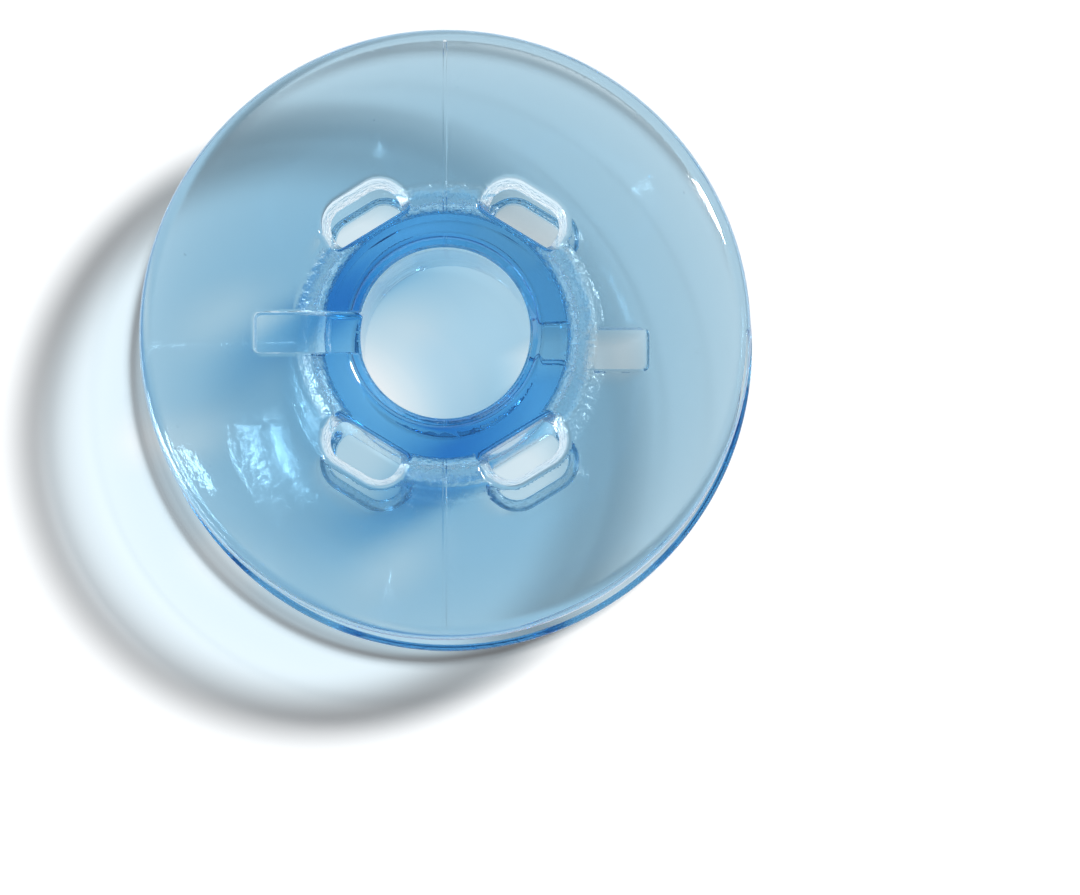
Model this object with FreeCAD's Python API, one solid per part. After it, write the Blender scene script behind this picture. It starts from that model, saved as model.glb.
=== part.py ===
import FreeCAD, Part
import math
import os

# Driving dimensions in millimetres and degrees. The axis is Z and the bobbin lies on z = 0.
FLANGE_DIAMETER = 22.0
OVERALL_WIDTH = 8.9  # between the flat landings of the two flanges
THREAD_GAP = 6.1  # between the flat inner faces of the flanges
RIM_THICKNESS = 0.75  # at the edge of the dome, before its corner is bevelled
RIM_BEVEL = 0.25
LANDING_WIDTH = 0.95  # flat ring around each mouth of the bore
HUB_WALL = 1.3
HUB_FILLET = 0.95  # hollow where the hub meets a flange
BORE_DIAMETER = 6.14
LEAD_IN_WIDTH = 0.4  # cone at each mouth of the bore
LEAD_IN_DEPTH = 0.45

# Thread slots, through each flange beside the hub.
SLOT_ANGLE = 58.5  # from the line of the notch to the square of a slot's straight side
SLOT_SHIFT = 0.25  # along the slot, towards the line of the notch
SLOT_LENGTH = 2.6  # at the inner face of the flange
SLOT_WIDTH = 1.25
SLOT_HUB_GAP = 0.13  # from the hub's surface to the straight side
SLOT_DRAFT = 15.0  # the ends and the far side open towards the outer face
SLOT_NEAR_ROUND = 0.3
SLOT_FAR_ROUND = 0.5

# Drive notch, one in each flange, on opposite sides of the axis.
NOTCH_WIDTH = 1.44
NOTCH_REACH = 6.72  # from the axis to the end of the notch at its floor
NOTCH_HUB_DEPTH = 0.84  # below the inner face of the flange, into the wall of the hub
NOTCH_END_DRAFT = 3.0
NOTCH_ROUND = 0.2

# Stub of the moulding gate on the hub.
GATE_ROOT_DIAMETER = 0.34
GATE_TIP_DIAMETER = 0.18
GATE_HEIGHT = 0.6

OVERRUN = 0.5  # how far a cutter stands clear of the surface it opens

X_AXIS = FreeCAD.Vector(1, 0, 0)
Y_AXIS = FreeCAD.Vector(0, 1, 0)
Z_AXIS = FreeCAD.Vector(0, 0, 1)
flange_r = FLANGE_DIAMETER / 2
bore_r = BORE_DIAMETER / 2
mouth_r = bore_r + LEAD_IN_WIDTH
landing_r = mouth_r + LANDING_WIDTH
hub_r = bore_r + HUB_WALL
centre = FreeCAD.Vector(0, 0, OVERALL_WIDTH / 2)
inner_face = centre.z + THREAD_GAP / 2
flange_thickness = OVERALL_WIDTH - inner_face


def at(radius, height):
    return FreeCAD.Vector(radius, 0, height)


def arc(middle, start, end):
    """The short arc from start to end about middle."""
    outward = (start - middle) + (end - middle)
    crown = middle + outward.normalize() * start.distanceToPoint(middle)
    return Part.Arc(start, crown, end).toShape()


def flange_section():
    """Edges of the upper flange's section before its dome, from the bore's wall to the hub's wall."""
    bore_end = at(bore_r, OVERALL_WIDTH - LEAD_IN_DEPTH)
    mouth = at(mouth_r, OVERALL_WIDTH)
    rim_top = at(flange_r, inner_face + RIM_THICKNESS - RIM_BEVEL)
    rise = OVERALL_WIDTH - rim_top.z
    shoulder = at(flange_r - rise, OVERALL_WIDTH)
    rim_foot = at(flange_r, inner_face)
    fillet = at(hub_r + HUB_FILLET, inner_face - HUB_FILLET)
    fillet_top = at(fillet.x, inner_face)
    fillet_foot = at(hub_r, fillet.z)
    return [
        Part.makeLine(bore_end, mouth),
        Part.makeLine(mouth, shoulder),
        Part.makeLine(shoulder, rim_top),
        Part.makeLine(rim_top, rim_foot),
        Part.makeLine(rim_foot, fillet_top),
        arc(fillet, fillet_top, fillet_foot),
    ]


def dome_ball():
    """The large ball that the upper flange's dome is part of, with its poles and seam clear of the dome."""
    drop = flange_thickness - RIM_THICKNESS
    reach = (flange_r**2 - landing_r**2 + drop**2) / (2 * drop)
    return Part.makeSphere(math.hypot(landing_r, reach), at(0, OVERALL_WIDTH - reach), -X_AXIS)


def turned_over(shape):
    """A copy that serves the lower flange as the shape serves the upper one."""
    copy = shape.copy()
    copy.rotate(centre, Y_AXIS, 180)
    return copy


def turned_body():
    """Hub, bore and both flanges as one revolved section, domed by a ball on each side."""
    upper = flange_section()
    lower = [edge.mirror(centre, Z_AXIS) for edge in upper]
    walls = []
    for end in (upper[0].Vertexes[0].Point, upper[-1].Vertexes[-1].Point):
        walls.append(Part.makeLine(end, at(end.x, OVERALL_WIDTH - end.z)))
    section = Part.Wire(Part.__sortEdges__(upper + lower + walls))
    stock = Part.Face(section).revolve(FreeCAD.Vector(), Z_AXIS, 360)
    ball = dome_ball()
    return stock.common(ball).common(turned_over(ball))


def rounded_outline(near, far, half_width, near_round, far_round, height):
    """A four-sided outline across the X axis, from near to far, with rounded corners."""
    corners = [(near, -half_width), (far, -half_width), (far, half_width), (near, half_width)]
    rounds = [near_round, far_round, far_round, near_round]
    points = [FreeCAD.Vector(x, y, height) for x, y in corners]
    edges = []
    ends = []
    for i, point in enumerate(points):
        back = (points[i - 1] - point).normalize()
        ahead = (points[(i + 1) % len(points)] - point).normalize()
        start = point + back * rounds[i]
        end = point + ahead * rounds[i]
        ends.append((start, end))
        if rounds[i] > 0:
            edges.append(arc(point + (back + ahead) * rounds[i], start, end))
    for i, (start, end) in enumerate(ends):
        edges.append(Part.makeLine(end, ends[(i + 1) % len(ends)][0]))
    return Part.Wire(Part.__sortEdges__(edges))


def slot_cutter(side, angle):
    """One flared slot with a straight foot that clears the hub's fillet."""
    near = hub_r + SLOT_HUB_GAP
    far = near + SLOT_WIDTH
    half = SLOT_LENGTH / 2
    top = OVERALL_WIDTH + OVERRUN
    flare = (top - inner_face) * math.tan(math.radians(SLOT_DRAFT))
    foot = rounded_outline(near, far, half, SLOT_NEAR_ROUND, SLOT_FAR_ROUND, inner_face)
    mouth = rounded_outline(
        near, far + flare, half + flare, SLOT_NEAR_ROUND, SLOT_FAR_ROUND + flare, top
    )
    flared = Part.makeLoft([foot, mouth], True, True)
    straight = Part.Face(foot).extrude(Z_AXIS * -(HUB_FILLET + OVERRUN))
    cutter = flared.fuse(straight)
    cutter.translate(FreeCAD.Vector(0, side * SLOT_SHIFT, 0))
    cutter.rotate(FreeCAD.Vector(), Z_AXIS, angle)
    return cutter


def notch_cutter():
    """Radial notch from the axis outwards, open at the outer face."""
    floor = inner_face - NOTCH_HUB_DEPTH
    top = OVERALL_WIDTH + OVERRUN
    slope = (top - floor) * math.tan(math.radians(NOTCH_END_DRAFT))
    half = NOTCH_WIDTH / 2
    low = rounded_outline(0, NOTCH_REACH, half, 0, NOTCH_ROUND, floor)
    high = rounded_outline(0, NOTCH_REACH + slope, half, 0, NOTCH_ROUND, top)
    cutter = Part.makeLoft([low, high], True, True)
    cutter.rotate(FreeCAD.Vector(), Z_AXIS, 180)
    return cutter


def flange_cutters():
    """Cutters of the upper flange, then the same ones turned over for the lower flange."""
    upper = [notch_cutter()]
    for angle, side in ((SLOT_ANGLE, -1), (180 - SLOT_ANGLE, 1)):
        upper.append(slot_cutter(side, angle))
        upper.append(slot_cutter(-side, -angle))
    return upper + [turned_over(cutter) for cutter in upper]


def gate_stub():
    """Short cone on the side of the hub, rooted inside its wall."""
    root = centre - Y_AXIS * (bore_r + HUB_WALL / 2)
    length = HUB_WALL / 2 + GATE_HEIGHT
    return Part.makeCone(GATE_ROOT_DIAMETER / 2, GATE_TIP_DIAMETER / 2, length, root, -Y_AXIS)


bobbin = turned_body().cut(flange_cutters()).fuse(gate_stub()).removeSplitter()
if bobbin.ShapeType == "Compound":
    bobbin = bobbin.Solids[0]
os.makedirs("parts", exist_ok=True)
bobbin.exportStep("parts/bobbin.step")
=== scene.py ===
import math
from types import SimpleNamespace

import bpy
import numpy as np
import openvdb
from mathutils import Matrix, Vector


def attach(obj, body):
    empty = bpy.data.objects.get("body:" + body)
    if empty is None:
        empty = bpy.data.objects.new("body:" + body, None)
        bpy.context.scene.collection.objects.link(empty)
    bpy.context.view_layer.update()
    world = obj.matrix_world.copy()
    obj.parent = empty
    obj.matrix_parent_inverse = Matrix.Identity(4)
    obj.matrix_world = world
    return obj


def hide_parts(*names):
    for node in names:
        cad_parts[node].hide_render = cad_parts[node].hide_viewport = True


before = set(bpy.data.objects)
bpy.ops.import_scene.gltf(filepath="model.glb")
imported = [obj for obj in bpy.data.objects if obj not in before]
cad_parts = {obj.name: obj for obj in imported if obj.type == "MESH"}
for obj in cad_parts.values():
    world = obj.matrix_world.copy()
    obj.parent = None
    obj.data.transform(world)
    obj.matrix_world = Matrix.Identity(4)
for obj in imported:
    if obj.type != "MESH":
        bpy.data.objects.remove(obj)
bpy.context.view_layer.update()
MM = 0.001

# Turned body of the bobbin, in millimetres: the axis is Z and the bobbin lies on z = 0.
FLANGE_RADIUS = 10.995
OVERALL_WIDTH = 8.9
INNER_FACE = 7.5  # height of the upper flange's flat inner face
RIM_THICKNESS = 0.75  # at the edge of the dome, before its corner is rounded
RIM_ROUND = 0.5
LANDING_RADIUS = 4.42
HUB_RADIUS = 4.37
HUB_FILLET = 0.95
BORE_RADIUS = 3.07
LEAD_IN_WIDTH = 0.4
LEAD_IN_DEPTH = 0.45
MOUTH_ROUND = 0.12
EDGE_ROUND = 0.06

# Slots, notch and gate stub, in millimetres. A flare is how far a wall opens per millimetre upwards.
SLOT_ANGLE = math.radians(58.5)
SLOT_SHIFT = 0.25
SLOT_LENGTH = 2.6
SLOT_WIDTH = 1.25
SLOT_HUB_GAP = 0.13
SLOT_FLARE = math.tan(math.radians(15))
SLOT_NEAR_ROUND = 0.3
SLOT_FAR_ROUND = 0.7
LIP_ROUND = 0.16
NOTCH_WIDTH = 1.44
NOTCH_REACH = 6.72
NOTCH_FLOOR = 6.66
NOTCH_FLARE = math.tan(math.radians(3))
NOTCH_ROUND = 0.2
GATE_ROOT_RADIUS = 0.17
GATE_TIP_RADIUS = 0.09
GATE_HEIGHT = 0.6

# Mesh: the grid that distances are measured on, in millimetres, and how its points are spread.
MESH_STEP = 0.08
HUB_STEP = 0.3  # between heights along the bare hub
GRID_MARGIN = 3 * MESH_STEP
MESH_SIMPLIFY = 0.001
EVENING_ROUNDS = 6
LEAST_SLOPE = 0.2  # squared, so that no point leaps where the distance hardly changes

# Plastic: its colour and its surface detail, in millimetres, with heights from the middle of the hub.
PLASTIC_TINT = (0.25, 0.68, 0.88, 1)
PLASTIC_DENSITY = 300.0
PLASTIC_IOR = 1.57
CLEAR_ROUGHNESS, FROST_ROUGHNESS = 0.04, 0.4
GRAIN_SIZE, GRAIN_DETAIL = 0.2, 2.0
INNER_FACE_FROM_MIDDLE = INNER_FACE - OVERALL_WIDTH / 2
COVER = 0.1  # how far a zone reaches past the surface that it covers
FINE_BLUR, BLUR, WIDE_BLUR = 0.05, 0.1, 0.2
FROST_FROM_MIDDLE, FROST_DEPTH = 2.05, 0.045
SLOT_FROST, SLOT_FROST_END = 0.6, 4.1
TURNED_START, TURNED_END, TURNED_BLUR, TURNED_DEPTH = 9.6, 10.2, 0.4, 0.0008
SEAM_WIDTH, SEAM_DEPTH, SEAM_RIM_GAP = 0.08, 0.018, 0.5
SPECK_START, SPECK_END, SPECK_DEPTH = 0.76, 0.81, 0.01

# Share of lamp light that each surface lets through. A slant is 0 facing the lamp and 1 edge on.
WALL_LIGHT, WALL_SLANT_START, WALL_SLANT_END = 0.95, 0.35, 0.5
RIM_WALL_LIGHT, RIM_WALL_START = 0.7, 10.8
LOWER_RIM_LIGHT, UPPER_RIM_LIGHT, RIM_NEAR_SLANT = 0.4, 0.7, 0.12
RIM_FAR_LIGHT, RIM_FAR_SLANT = 0.02, 0.23
RIM_SHADE_START, RIM_SHADE_END = 10.22, 11.15
RIM_SPREAD = 0.17  # how much nearer to the axis the upper rim's shade starts, per millimetre of height
DOME_START, DOME_END = 3.3, 3.4
FOOT_LIGHT, FOOT_HEIGHT = 1.25, 0.2

# Photograph: its size in pixels, and the pixel where the foot of the bobbin's axis lies.
PHOTO_WIDTH, PHOTO_HEIGHT = 1080, 895
AXIS_FOOT_PX = (450.0, 351.2)
PIXELS_PER_MM = 27.49

# Camera: nearly overhead, leaning towards the bottom and the right of the picture.
CAMERA_DISTANCE = 600 * MM
CAMERA_LEAN_DOWN = math.radians(4.27)
CAMERA_LEAN_RIGHT = math.radians(1.07)
CAMERA_CLIP = (0.05, 20)
SENSOR_WIDTH_MM = 36.0

# Light: lamps from the upper right, and a dim cool surround that is seen as a white backdrop.
LAMP_DISTANCE = 0.8  # in metres, as the sizes of the lamps and the floor are
LAMP_COLOUR = (0.97, 0.99, 1)
MAIN_FROM_ZENITH, MAIN_TURN = math.radians(35.2), math.radians(32.4)
MAIN_SIZE, MAIN_SHARE = (0.11, 0.11), 0.6
SIDE_FROM_ZENITH, SIDE_TURN = math.radians(29.6), math.radians(35.0)
SIDE_SIZE, SIDE_SHARE = (0.078, 0.012), 0.105
HIGH_FROM_ZENITH, HIGH_TURN = math.radians(19.3), math.radians(41.0)
HIGH_SIZE, HIGH_SHARE = (0.06, 0.016), 0.06
SURROUND_COLOUR = (0.93, 0.96, 1, 1)
SURROUND_AT_HORIZON, SURROUND_AT_ZENITH = 0.2, 0.26
SURROUND_SEEN, SURROUND_SEEN_HEIGHT = 1.0, 0.8
FLOOR_SIZE = 3.0
FLOOR_COLOUR = 0.85
FLOOR_SEEN = 1.2
FLOOR_GAP = 0.03 * MM


def both(a, b, rounding):
    """Distance to what lies inside both shapes, with a rounded corner where they meet."""
    corner = np.hypot(np.maximum(a + rounding, 0), np.maximum(b + rounding, 0))
    return np.minimum(np.maximum(a, b), -rounding) + corner


def either(a, b, rounding):
    """Distance to what lies inside either shape, with a hollow fillet where they meet."""
    return -both(-a, -b, rounding)


def turned_body(r, z):
    """Hub and domed flange, as turned about the axis, with its bore."""
    drop = OVERALL_WIDTH - INNER_FACE - RIM_THICKNESS
    reach = (FLANGE_RADIUS**2 - LANDING_RADIUS**2 + drop**2) / (2 * drop)
    dome = np.hypot(r, z - OVERALL_WIDTH + reach) - math.hypot(LANDING_RADIUS, reach)
    outside = both(np.maximum(dome, z - OVERALL_WIDTH), r - FLANGE_RADIUS, RIM_ROUND)
    underside = either(INNER_FACE - z, r - HUB_RADIUS, HUB_FILLET)
    slope = math.hypot(LEAD_IN_WIDTH, LEAD_IN_DEPTH)
    above = z - OVERALL_WIDTH + LEAD_IN_DEPTH
    lead_in = ((BORE_RADIUS - r) * LEAD_IN_DEPTH + above * LEAD_IN_WIDTH) / slope
    bore = both(BORE_RADIUS - r, lead_in, MOUTH_ROUND)
    return both(both(underside, outside, EDGE_ROUND), bore, MOUTH_ROUND)


def thread_slots(x, y, z):
    """The four flared slots beside the hub, which mirror one another."""
    x, y = np.abs(x), np.abs(y)
    out = x * math.cos(SLOT_ANGLE) + y * math.sin(SLOT_ANGLE) - HUB_RADIUS - SLOT_HUB_GAP
    along = np.abs(y * math.cos(SLOT_ANGLE) - x * math.sin(SLOT_ANGLE) + SLOT_SHIFT)
    flare = np.maximum(z - INNER_FACE, 0) * SLOT_FLARE
    width = SLOT_WIDTH + flare
    end = along - SLOT_LENGTH / 2 - flare
    near_half = both(-out, end, SLOT_NEAR_ROUND)
    far_half = both(out - width, end, SLOT_FAR_ROUND + flare)
    return np.where(out < width / 2, near_half, far_half)


def drive_notch(x, y, z):
    """The notch that runs from the bore out across the flange, towards negative X."""
    end = -x - NOTCH_REACH - (z - NOTCH_FLOOR) * NOTCH_FLARE
    sides = both(np.abs(y) - NOTCH_WIDTH / 2, end, NOTCH_ROUND)
    return np.maximum(both(sides, NOTCH_FLOOR - z, EDGE_ROUND), x)


def gate_stub(x, y, z):
    """The small cone of the moulding gate on the side of the hub."""
    out = -y - HUB_RADIUS
    taper = (GATE_ROOT_RADIUS - GATE_TIP_RADIUS) / GATE_HEIGHT
    side = np.hypot(x, z - OVERALL_WIDTH / 2) - GATE_ROOT_RADIUS + np.maximum(out, 0) * taper
    return np.maximum(both(side, out - GATE_HEIGHT, EDGE_ROUND), -out - HUB_FILLET)


def bobbin_distance(x, y, z):
    """Distance to the bobbin's surface, negative inside it. Its lower half is the upper turned over."""
    lower = z < OVERALL_WIDTH / 2
    x, z = np.where(lower, -x, x), np.where(lower, OVERALL_WIDTH - z, z)
    body = turned_body(np.hypot(x, y), z)
    body = both(body, -thread_slots(x, y, z), LIP_ROUND)
    body = both(body, -drive_notch(x, y, z), EDGE_ROUND)
    return either(body, gate_stub(x, y, z), EDGE_ROUND)


def slopes(points):
    """How the distance changes along each axis at the points."""
    reach = MESH_STEP / 4
    columns = []
    for axis in np.eye(3) * reach:
        ahead, behind = bobbin_distance(*(points + axis).T), bobbin_distance(*(points - axis).T)
        columns.append((ahead - behind) / (2 * reach))
    return np.stack(columns, axis=1)


def on_surface(points):
    """The points moved onto the surface, or near it, along the slope of the distance."""
    slope = slopes(points)
    steepness = np.maximum((slope**2).sum(axis=1), LEAST_SLOPE)
    return points - slope * (bobbin_distance(*points.T) / steepness)[:, None]


def grid_heights():
    """Heights to measure at: close at the flanges and the gate stub, further apart along the hub."""
    middle = OVERALL_WIDTH / 2
    off_faces = MESH_STEP / 3
    flange = np.arange(-GRID_MARGIN, OVERALL_WIDTH - INNER_FACE + HUB_FILLET, MESH_STEP) + off_faces
    stub = np.arange(middle - MESH_STEP / 2, middle - 2 * GATE_ROOT_RADIUS, -MESH_STEP)[::-1]
    bare_hub = np.arange(flange[-1] + HUB_STEP, stub[0], HUB_STEP)
    half = np.concatenate([flange, bare_hub, stub])
    return np.concatenate([half, OVERALL_WIDTH - half[::-1]])


def measured_surface():
    """Points, triangles and quads of the surface, found from the distances on a grid."""
    across = np.arange(-FLANGE_RADIUS - GRID_MARGIN, FLANGE_RADIUS + GRID_MARGIN, MESH_STEP)
    heights = grid_heights()
    x, y = np.meshgrid(across, across, indexing="ij")
    layers = [bobbin_distance(x, y, np.full_like(x, z)).astype(np.float32) for z in heights]
    grid = openvdb.FloatGrid(GRID_MARGIN)
    grid.copyFromArray(np.clip(np.stack(layers, axis=2), -GRID_MARGIN, GRID_MARGIN))
    points, triangles, quads = grid.convertToPolygons(0.0, MESH_SIMPLIFY)
    points[:, :2] = points[:, :2] * MESH_STEP + across[0]
    points[:, 2] = np.interp(points[:, 2], np.arange(len(heights)), heights)
    return points, triangles, quads


def evened(points, triangles, quads):
    """The points spread evenly: each is drawn between its neighbours and put back on the surface."""
    sides = [faces[:, [i, i - 1]] for faces in (triangles, quads) for i in range(faces.shape[1])]
    sides = np.concatenate(sides + [pair[:, ::-1] for pair in sides])
    neighbours = np.bincount(sides[:, 0], minlength=len(points))
    for _ in range(EVENING_ROUNDS):
        sums = [np.bincount(sides[:, 0], points[sides[:, 1], axis], len(points)) for axis in range(3)]
        points = on_surface((points + np.stack(sums, axis=1) / neighbours[:, None]) / 2)
    return on_surface(on_surface(points))


def fine_bobbin():
    """The bobbin as a fine closed mesh with its edges rounded, which stands for the plain solid."""
    points, triangles, quads = measured_surface()
    points = evened(points, triangles, quads)
    slope = slopes(points)
    normals = slope / np.linalg.norm(slope, axis=1, keepdims=True)
    mesh = bpy.data.meshes.new("bobbin_clear")
    mesh.from_pydata((points * MM).tolist(), [], triangles.tolist() + quads.tolist())
    mesh.shade_smooth()
    mesh.normals_split_custom_set_from_vertices(normals.tolist())
    piece = bpy.data.objects.new("bobbin_clear", mesh)
    bpy.context.scene.collection.objects.link(piece)
    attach(piece, "root")
    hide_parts("bobbin")
    return piece


def node_material(name):
    """A new material with nodes and nothing in its tree."""
    material = bpy.data.materials.new(name)
    material.use_nodes = True
    material.node_tree.nodes.clear()
    return material


def add_node(tree, kind, inputs, **settings):
    """A shader node with its settings, and its inputs set to values or linked to sockets."""
    made = tree.nodes.new("ShaderNode" + kind)
    for name, value in settings.items():
        setattr(made, name, value)
    for name, value in inputs.items():
        if isinstance(value, bpy.types.NodeSocket):
            tree.links.new(value, made.inputs[name])
        else:
            made.inputs[name].default_value = value
    return made


def maths(tree, operation, first, *others):
    """The operation on the first value and each of the others in turn, or on the first alone."""
    for other in others or (0.0,):
        first = add_node(tree, "Math", {0: first, 1: other}, operation=operation).outputs[0]
    return first


def ramp(tree, value, start, end, before, after):
    """A smooth step from before to after while value goes from start to end."""
    inputs = {"Value": value, "From Min": start, "From Max": end, "To Min": before, "To Max": after}
    return add_node(tree, "MapRange", inputs, interpolation_type="SMOOTHSTEP").outputs["Result"]


def ramp_mm(tree, length, start, end, before, after):
    """A smooth step over a length, with its start and end in millimetres."""
    return ramp(tree, length, start * MM, end * MM, before, after)


def up_to(tree, length, end, blur):
    """One where the length is below end, falling to nothing over the blur."""
    return ramp_mm(tree, length, end, end + blur, 1.0, 0.0)


def zone(tree, length, start, end, blur):
    """One where the length lies between start and end, falling to nothing over the blur."""
    rising = ramp_mm(tree, length, start - blur, start, 0.0, 1.0)
    return maths(tree, "MULTIPLY", rising, up_to(tree, length, end, blur))


def place_on_bobbin(tree):
    """Sockets that say where on the bobbin a point lies."""
    point = add_node(tree, "TexCoord", {}).outputs["Object"]
    along = add_node(tree, "SeparateXYZ", {0: point}).outputs
    above_middle = maths(tree, "SUBTRACT", along["Z"], OVERALL_WIDTH / 2 * MM)
    flat = add_node(tree, "VectorMath", {0: point, 1: (1, 1, 0)}, operation="MULTIPLY")
    from_axis = add_node(tree, "VectorMath", {0: flat.outputs["Vector"]}, operation="LENGTH")
    return SimpleNamespace(
        point=point,
        x=along["X"],
        height=along["Z"],
        from_middle=maths(tree, "ABSOLUTE", above_middle),
        radius=from_axis.outputs["Value"],
    )


def surface_detail(tree, place):
    """Roughness and normal of the surface: frosted fillets and slots, turned rim, seam and specks."""
    near_flange = zone(tree, place.from_middle, FROST_FROM_MIDDLE, INNER_FACE_FROM_MIDDLE, BLUR)
    on_fillet = zone(tree, place.radius, HUB_RADIUS - COVER, HUB_RADIUS + HUB_FILLET, WIDE_BLUR)
    fillets = maths(tree, "MULTIPLY", on_fillet, near_flange)
    in_flange = zone(tree, place.from_middle, INNER_FACE_FROM_MIDDLE + COVER, SLOT_FROST_END, FINE_BLUR)
    by_slots = zone(tree, place.radius, HUB_RADIUS, NOTCH_REACH + COVER, BLUR)
    slot_walls = maths(tree, "MULTIPLY", in_flange, by_slots, SLOT_FROST)
    frosted = maths(tree, "MAXIMUM", fillets, slot_walls)
    turned = zone(tree, place.radius, TURNED_START, TURNED_END, TURNED_BLUR)
    by_seam = up_to(tree, maths(tree, "ABSOLUTE", place.x), SEAM_WIDTH / 2, SEAM_WIDTH / 2)
    outside_hub = zone(tree, place.radius, HUB_RADIUS - COVER, FLANGE_RADIUS - SEAM_RIM_GAP, FINE_BLUR)
    on_inside = up_to(tree, place.from_middle, INNER_FACE_FROM_MIDDLE, BLUR)

    inputs = {"Vector": place.point, "Scale": 1 / (GRAIN_SIZE * MM), "Detail": GRAIN_DETAIL}
    grain = add_node(tree, "TexNoise", inputs).outputs["Fac"]
    frost_depth = maths(tree, "MULTIPLY", frosted, FROST_DEPTH * MM)
    turned_depth = maths(tree, "MULTIPLY", turned, TURNED_DEPTH * MM)
    rough = maths(tree, "MULTIPLY", grain, maths(tree, "ADD", frost_depth, turned_depth))
    specks = ramp(tree, grain, SPECK_START, SPECK_END, 0.0, SPECK_DEPTH * MM)
    seam = maths(tree, "MULTIPLY", by_seam, outside_hub, on_inside, SEAM_DEPTH * MM)
    height = maths(tree, "ADD", rough, specks, seam)
    bump = add_node(tree, "Bump", {"Height": height, "Distance": 1.0, "Strength": 1.0})
    polish = maths(tree, "MULTIPLY", grain, CLEAR_ROUGHNESS)
    frost = maths(tree, "MULTIPLY", grain, frosted, FROST_ROUGHNESS)
    return maths(tree, "ADD", polish, frost), bump.outputs["Normal"]


def lamp_light(tree, place):
    """Share of lamp light let through: less at walls and rims, more at the foot of the hub."""
    slant = add_node(tree, "LayerWeight", {"Blend": 0.5}).outputs["Facing"]
    near_light = ramp_mm(tree, place.height, 0.0, OVERALL_WIDTH, LOWER_RIM_LIGHT, UPPER_RIM_LIGHT)
    rim_light = ramp(tree, slant, RIM_NEAR_SLANT, RIM_FAR_SLANT, near_light, RIM_FAR_LIGHT)
    dome_light = ramp_mm(tree, place.from_middle, DOME_START, DOME_END, 1.0, rim_light)
    spread = maths(tree, "ADD", place.radius, maths(tree, "MULTIPLY", place.height, RIM_SPREAD))
    plate_light = ramp_mm(tree, spread, RIM_SHADE_START, RIM_SHADE_END, 1.0, dome_light)
    at_foot = ramp_mm(tree, place.height, FOOT_HEIGHT / 2, FOOT_HEIGHT, FOOT_LIGHT, 1.0)
    hub_light = ramp_mm(tree, place.radius, HUB_RADIUS, HUB_RADIUS + WIDE_BLUR, at_foot, plate_light)
    wall_light = ramp_mm(tree, place.radius, RIM_WALL_START, FLANGE_RADIUS, WALL_LIGHT, RIM_WALL_LIGHT)
    return ramp(tree, slant, WALL_SLANT_START, WALL_SLANT_END, hub_light, wall_light)


def clear_plastic():
    """Clear blue plastic: glassy surface, colour from the depth of plastic that light crosses."""
    material = node_material("clear_blue_plastic")
    tree = material.node_tree
    place = place_on_bobbin(tree)
    roughness, normal = surface_detail(tree, place)
    glass = add_node(tree, "BsdfPrincipled", {
        "Base Color": (1, 1, 1, 1),
        "Roughness": roughness,
        "IOR": PLASTIC_IOR,
        "Transmission Weight": 1.0,
        "Normal": normal,
    })
    depth = add_node(tree, "VolumeAbsorption", {"Color": PLASTIC_TINT, "Density": PLASTIC_DENSITY})
    to_lamps = add_node(tree, "BsdfTransparent", {"Color": lamp_light(tree, place)})
    path = add_node(tree, "LightPath", {})
    surface = add_node(tree, "MixShader", {
        "Fac": path.outputs["Is Shadow Ray"],
        1: glass.outputs["BSDF"],
        2: to_lamps.outputs["BSDF"],
    })
    add_node(tree, "OutputMaterial", {
        "Surface": surface.outputs["Shader"],
        "Volume": depth.outputs["Volume"],
    })
    return material


def is_seen(tree):
    """One for rays that show a thing to the camera, straight or by way of the plastic."""
    path = add_node(tree, "LightPath", {}).outputs
    kinds = [path["Is Camera Ray"], path["Is Glossy Ray"], path["Is Transmission Ray"]]
    return maths(tree, "MAXIMUM", *kinds)


def white_floor():
    """White floor that shows brighter to the camera and through the plastic than it lights."""
    material = node_material("white_floor")
    tree = material.node_tree
    colour = ramp(tree, is_seen(tree), 0.0, 1.0, FLOOR_COLOUR, FLOOR_SEEN)
    matt = add_node(tree, "BsdfDiffuse", {"Color": colour})
    add_node(tree, "OutputMaterial", {"Surface": matt.outputs["BSDF"]})
    bpy.ops.mesh.primitive_plane_add(size=FLOOR_SIZE, location=(0, 0, -FLOOR_GAP))
    floor = bpy.context.object
    floor.name = "floor"
    floor.data.materials.append(material)


def aim(eye, target, up):
    """The matrix of something at eye that looks at target with up upwards in its picture."""
    back = (eye - target).normalized()
    right = up.cross(back).normalized()
    turned = Matrix((right, back.cross(right), back)).transposed().to_4x4()
    return Matrix.Translation(eye) @ turned


def add_camera():
    """The photograph's camera, aimed at the point of the floor in the middle of its frame."""
    data = bpy.data.cameras.new("camera")
    data.sensor_fit = "HORIZONTAL"
    data.sensor_width = SENSOR_WIDTH_MM
    data.lens = SENSOR_WIDTH_MM * PIXELS_PER_MM * CAMERA_DISTANCE / MM / PHOTO_WIDTH
    data.clip_start, data.clip_end = CAMERA_CLIP
    camera = bpy.data.objects.new("camera", data)
    bpy.context.scene.collection.objects.link(camera)
    across = (PHOTO_WIDTH / 2 - AXIS_FOOT_PX[0]) / PIXELS_PER_MM * MM
    down = (PHOTO_HEIGHT / 2 - AXIS_FOOT_PX[1]) / PIXELS_PER_MM * MM
    target = Vector((across, -down, 0))
    back = Vector((math.tan(CAMERA_LEAN_RIGHT), -math.tan(CAMERA_LEAN_DOWN), 1)).normalized()
    camera.matrix_world = aim(target + back * CAMERA_DISTANCE, target, Vector((0, 1, 0)))
    bpy.context.scene.camera = camera


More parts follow.
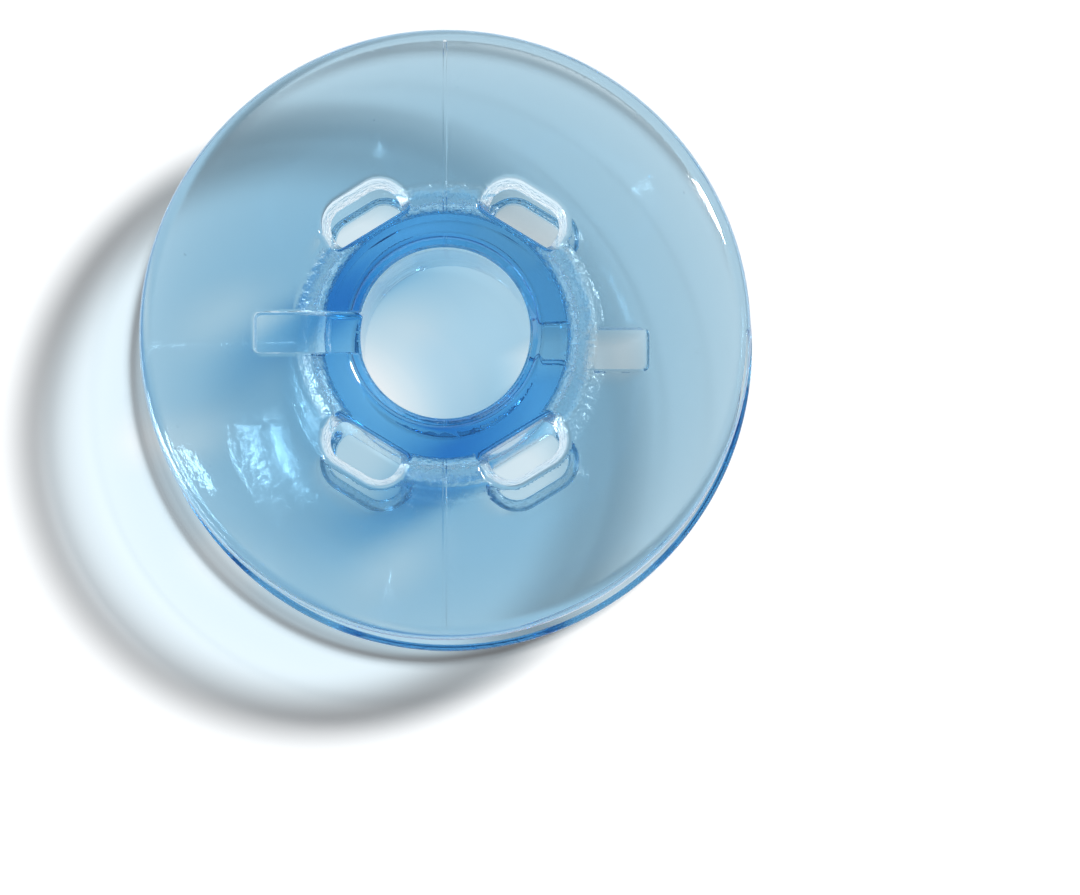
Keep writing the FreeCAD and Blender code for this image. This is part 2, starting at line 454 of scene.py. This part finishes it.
def add_lamp(name, from_zenith, turn, size, share):
    """An oval lamp, sized across and upwards, that gives its share of the light on the floor."""
    data = bpy.data.lights.new(name, "AREA")
    data.shape = "ELLIPSE"
    data.size, data.size_y = size
    data.color = LAMP_COLOUR
    slope = math.sin(from_zenith)
    away = Vector((slope * math.cos(turn), slope * math.sin(turn), math.cos(from_zenith)))
    data.energy = share * math.pi**2 * LAMP_DISTANCE**2 / math.cos(from_zenith)
    lamp = bpy.data.objects.new(name, data)
    bpy.context.scene.collection.objects.link(lamp)
    lamp.matrix_world = aim(away * LAMP_DISTANCE, Vector((0, 0, 0)), Vector((0, 0, 1)))


def add_surround():
    """Dim surround that the plastic shows as a white backdrop round the horizon."""
    world = bpy.data.worlds.new("surround")
    world.use_nodes = True
    tree = world.node_tree
    direction = add_node(tree, "TexCoord", {}).outputs["Generated"]
    height = add_node(tree, "SeparateXYZ", {0: direction}).outputs["Z"]
    as_light = ramp(tree, height, 0.0, 1.0, SURROUND_AT_HORIZON, SURROUND_AT_ZENITH)
    backdrop = ramp(tree, height, 0.0, SURROUND_SEEN_HEIGHT, SURROUND_SEEN, SURROUND_AT_ZENITH)
    strength = ramp(tree, is_seen(tree), 0.0, 1.0, as_light, backdrop)
    tree.nodes["Background"].inputs["Color"].default_value = SURROUND_COLOUR
    tree.links.new(strength, tree.nodes["Background"].inputs["Strength"])
    bpy.context.scene.world = world


bobbin = fine_bobbin()
bobbin.data.materials.append(clear_plastic())

white_floor()
add_lamp("main_lamp", MAIN_FROM_ZENITH, MAIN_TURN, MAIN_SIZE, MAIN_SHARE)
add_lamp("side_lamp", SIDE_FROM_ZENITH, SIDE_TURN, SIDE_SIZE, SIDE_SHARE)
add_lamp("high_lamp", HIGH_FROM_ZENITH, HIGH_TURN, HIGH_SIZE, HIGH_SHARE)
add_surround()
add_camera()

# Render: deep enough for light to cross the clear walls, with no caustics, which would only add noise.
scene = bpy.context.scene
scene.view_settings.view_transform = "Standard"
scene.cycles.max_bounces = 16
scene.cycles.transmission_bounces = 16
scene.cycles.glossy_bounces = 16
scene.cycles.transparent_max_bounces = 32
scene.cycles.caustics_reflective = False
scene.cycles.caustics_refractive = False
scene.cycles.sample_clamp_indirect = 20.0
